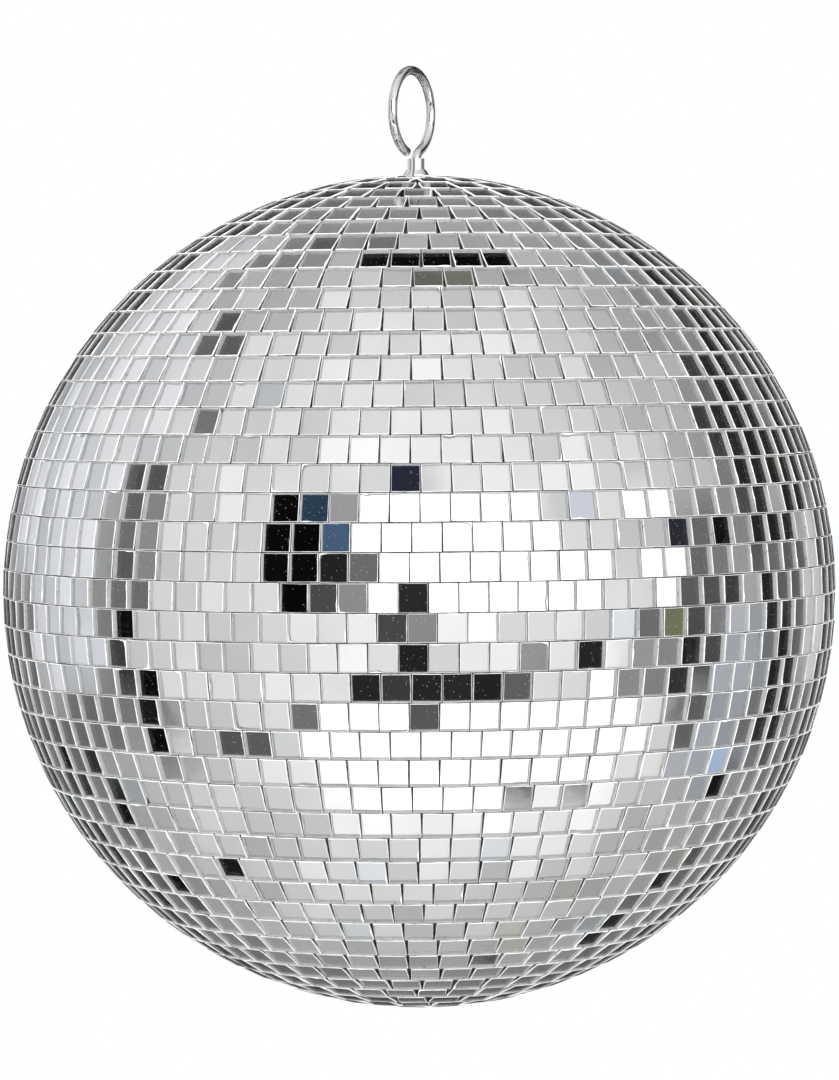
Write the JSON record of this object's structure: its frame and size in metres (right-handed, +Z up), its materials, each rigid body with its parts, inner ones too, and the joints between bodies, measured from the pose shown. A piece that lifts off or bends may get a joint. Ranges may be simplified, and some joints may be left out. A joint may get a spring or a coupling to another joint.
{
  "type": "mirror ball",
  "caption": "Mirror ball: a sphere faced all over with small square mirror tiles in rows, hung from an open wire eye whose shank swivels in a hollow stem.",
  "frame": {"origin": "the hanging point, where a hook bears inside the top of the wire eye", "axes": "+Z up along the stem and the ball's spin axis; X across the flat of the wire eye, with the wire's cut end towards -X; Y through the eye, the way a hook passes"},
  "size_m": [0.3003, 0.3004, 0.3392],
  "materials": {
    "mirror_tiles": "silvered glass tile, frosted cut edges",
    "plated_wire": "bright plated steel wire, polished",
    "plated_fittings": "bright plated turned steel",
    "zinc_fasteners": "zinc plated, satin",
    "plain_steel": "plain rolled plate",
    "nylon": "natural nylon",
    "shell_plastic": "moulded, matt",
    "tile_adhesive": "grey set adhesive, matt"
  },
  "bodies": {
    "eye": {"hanging_eye": "plated_wire", "eye_washer": "zinc_fasteners", "eye_nut": "zinc_fasteners", "eye_lock_nut": "zinc_fasteners"},
    "ball": {"stem_bolt": "plated_fittings", "stem_collar": "plated_fittings", "thrust_washer": "nylon", "spring_washer": "zinc_fasteners", "anchor_plate": "plain_steel", "anchor_screws": "zinc_fasteners", "upper_shell": "shell_plastic", "lower_shell": "shell_plastic", "shell_joint_ring": "shell_plastic", "upper_adhesive_bed": "tile_adhesive", "lower_adhesive_bed": "tile_adhesive", "upper_pole_tiles": "mirror_tiles", "lower_pole_tiles": "mirror_tiles", "upper_tile_band_01": "mirror_tiles", "upper_tile_band_02": "mirror_tiles", "upper_tile_band_03": "mirror_tiles", "upper_tile_band_04": "mirror_tiles", "upper_tile_band_05": "mirror_tiles", "upper_tile_band_06": "mirror_tiles", "upper_tile_band_07": "mirror_tiles", "upper_tile_band_08": "mirror_tiles", "upper_tile_band_09": "mirror_tiles", "upper_tile_band_10": "mirror_tiles", "upper_tile_band_11": "mirror_tiles", "lower_tile_band_01": "mirror_tiles", "lower_tile_band_02": "mirror_tiles", "lower_tile_band_03": "mirror_tiles", "lower_tile_band_04": "mirror_tiles", "lower_tile_band_05": "mirror_tiles", "lower_tile_band_06": "mirror_tiles", "lower_tile_band_07": "mirror_tiles", "lower_tile_band_08": "mirror_tiles", "lower_tile_band_09": "mirror_tiles", "lower_tile_band_10": "mirror_tiles", "lower_tile_band_11": "mirror_tiles"}
  },
  "joints": [
    {"name": "ball_spin", "type": "hinge", "parent": "eye", "child": "ball", "pos_m": [0, 0, 0], "axis": [0, 0, 1], "continuous": true}
  ]
}
